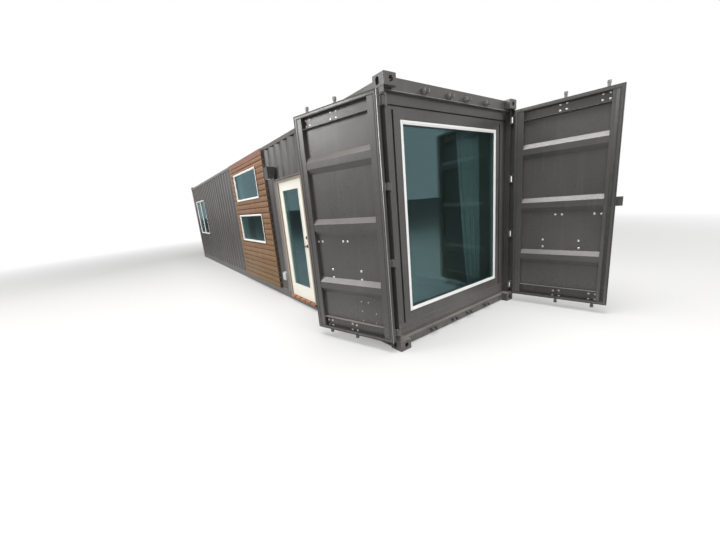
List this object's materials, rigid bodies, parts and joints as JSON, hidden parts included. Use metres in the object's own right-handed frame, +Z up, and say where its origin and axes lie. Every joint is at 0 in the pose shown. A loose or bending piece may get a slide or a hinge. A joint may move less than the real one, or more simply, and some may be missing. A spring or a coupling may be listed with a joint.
{
  "type": "shipping container cabin",
  "caption": "Long steel shipping container made into a cabin: corrugated walls, swinging cargo doors, glazed end wall, timber cladding, windows and an entrance door.",
  "frame": {"origin": "middle of the footprint, on the underside of the bottom corner castings", "axes": "+Z up, -X towards the end with the cargo doors and the big window, +Y the long side with the entrance door and the cladding"},
  "size_m": [13.4169, 3.029, 2.896],
  "materials": {
    "dark_paint": "semi-gloss dark bronze paint over steel",
    "floor_wood": "sealed plywood",
    "lining": "matt painted board",
    "white_frame": "white vinyl, satin",
    "glass": "clear double glazing",
    "cedar": "oiled cedar",
    "dark_timber": "black stained batten",
    "red_cedar": "red-brown stained timber",
    "grey_casing": "grey painted steel",
    "cream_paint": "cream paint, satin",
    "dark_metal": "black powder coat",
    "silver": "satin cast aluminium",
    "curtain": "grey woven cloth",
    "rubber": "black seal",
    "zinc": "dull galvanised steel",
    "hinge_steel": "worn galvanised steel"
  },
  "bodies": {
    "cabin": {"bottom_side_rails": "dark_paint", "cam_keepers": "dark_paint", "ceiling": "lining", "cladding_battens": "dark_timber", "cladding_boards": "cedar", "cladding_top_trim": "red_cedar", "corner_castings": "dark_paint", "cross_members": "dark_paint", "curtain": "curtain", "door_casing": "grey_casing", "door_jamb": "red_cedar", "door_sill": "cedar", "floor": "floor_wood", "front_header": "dark_paint", "front_posts": "dark_paint", "front_sill": "dark_paint", "front_wall": "dark_paint", "front_window_frame": "white_frame", "front_window_glass": "glass", "left_lining_front": "lining", "left_lining_over_door": "lining", "left_lining_rear": "lining", "left_wall_front": "dark_paint", "left_wall_over_door": "dark_paint", "left_wall_rear": "dark_paint", "lower_window_frame": "white_frame", "outlet_box": "silver", "rear_lining": "lining", "rear_posts": "dark_paint", "rear_rails": "dark_paint", "rear_wall": "dark_paint", "rear_window_frame": "white_frame", "right_lining": "lining", "right_wall": "dark_paint", "roof_panel": "dark_paint", "side_window_glass": "glass", "top_side_rails": "dark_paint", "upper_window_frame": "white_frame", "wall_light": "dark_metal"},
    "left_leaf": {"left_leaf_frame": "dark_paint", "left_leaf_gasket": "rubber", "left_leaf_hinges": "hinge_steel", "left_leaf_lock_rods": "zinc", "left_leaf_panel": "dark_paint"},
    "right_leaf": {"right_leaf_catch": "dark_paint", "right_leaf_frame": "dark_paint", "right_leaf_gasket": "rubber", "right_leaf_hinges": "hinge_steel", "right_leaf_lock_rods": "zinc", "right_leaf_panel": "dark_paint"},
    "man_door": {"man_door": "cream_paint", "man_door_glass": "glass", "man_door_hardware": "dark_metal"}
  },
  "joints": [
    {"name": "left_leaf_hinge", "type": "hinge", "parent": "cabin", "child": "left_leaf", "pos_m": [-6.074, 1.201, 1.44], "axis": [0, 0, -1], "range_deg": [-253.1, 11.9]},
    {"name": "right_leaf_hinge", "type": "hinge", "parent": "cabin", "child": "right_leaf", "pos_m": [-6.074, -1.201, 1.44], "axis": [0, 0, 1], "range_deg": [-99.8, 165.2]},
    {"name": "entrance_door_hinge", "type": "hinge", "parent": "cabin", "child": "man_door", "pos_m": [-3.1605, 1.158, 1.16], "axis": [0, 0, 1], "range_deg": [0, 90]}
  ]
}
